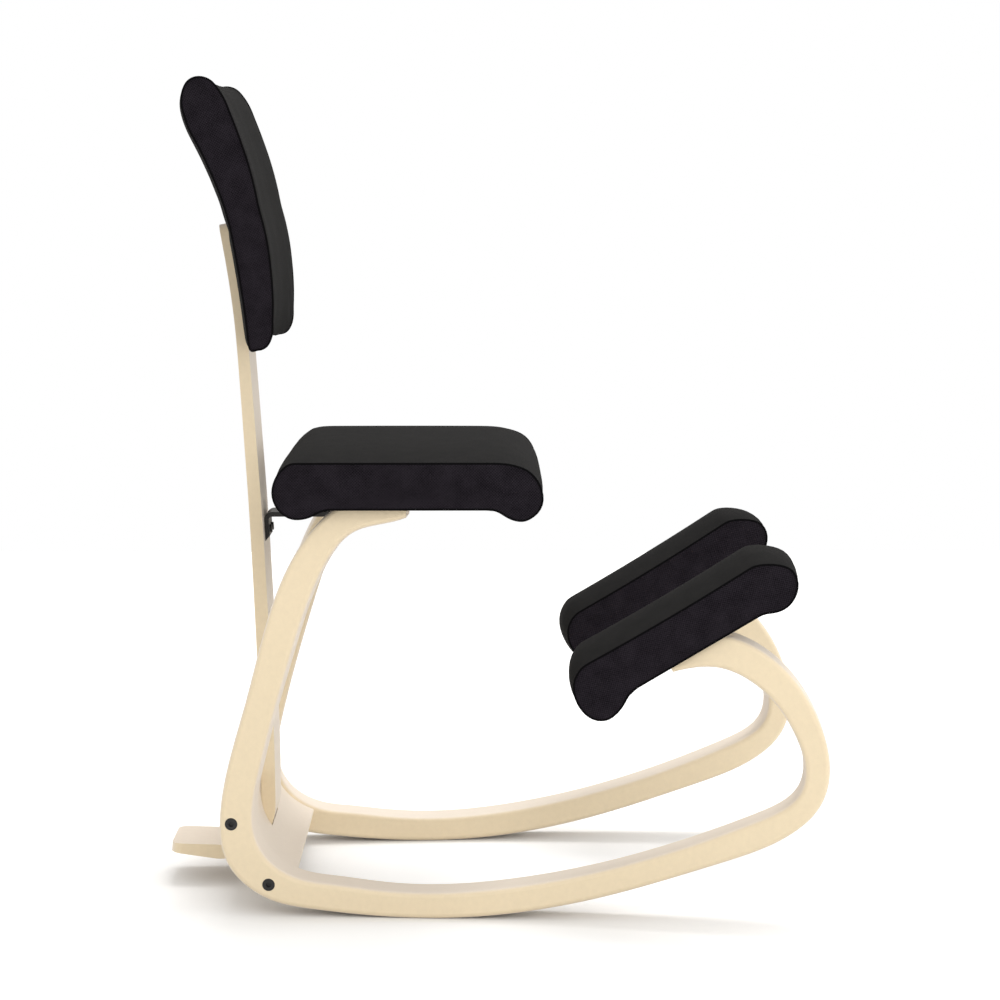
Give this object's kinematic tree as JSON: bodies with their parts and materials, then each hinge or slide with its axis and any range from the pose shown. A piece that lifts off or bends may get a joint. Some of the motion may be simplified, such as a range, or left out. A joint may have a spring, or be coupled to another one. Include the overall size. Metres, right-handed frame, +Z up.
{
  "type": "rocking kneeling chair with backrest",
  "caption": "Kneeling chair on curved bent-wood rockers, with a padded seat, sloped knee pads and a padded back on a wooden lath",
  "frame": {"origin": "on the floor, under the middle of the chair's bounding box", "axes": "+X is the front of the chair, +Y the sitter's left, +Z up"},
  "size_m": [0.8099, 0.5398, 1.008],
  "materials": {
    "pale_wood": "satin",
    "plywood": "matte",
    "charcoal_fabric": "matte",
    "foam": "matte",
    "black_steel": "satin",
    "plain_steel": "satin"
  },
  "bodies": {
    "root": {"back_board": "plywood", "back_bolts": "black_steel", "back_cover": "charcoal_fabric", "back_foam": "foam", "back_post": "pale_wood", "back_tee_nuts": "plain_steel", "bracket_post_screws": "black_steel", "bracket_seat_screws": "black_steel", "crossbar_barrel_nuts": "plain_steel", "crossbar_bolts": "black_steel", "knee_board_left": "plywood", "knee_board_right": "plywood", "knee_bolts": "black_steel", "knee_cover_left": "charcoal_fabric", "knee_cover_right": "charcoal_fabric", "knee_foam_left": "foam", "knee_foam_right": "foam", "knee_tee_nuts": "plain_steel", "rear_crossbar": "pale_wood", "runner_left": "pale_wood", "runner_right": "pale_wood", "seat_board": "plywood", "seat_bolts": "black_steel", "seat_cover": "charcoal_fabric", "seat_foam": "foam", "seat_tee_nuts": "plain_steel", "support_bracket": "black_steel"}
  },
  "joints": []
}
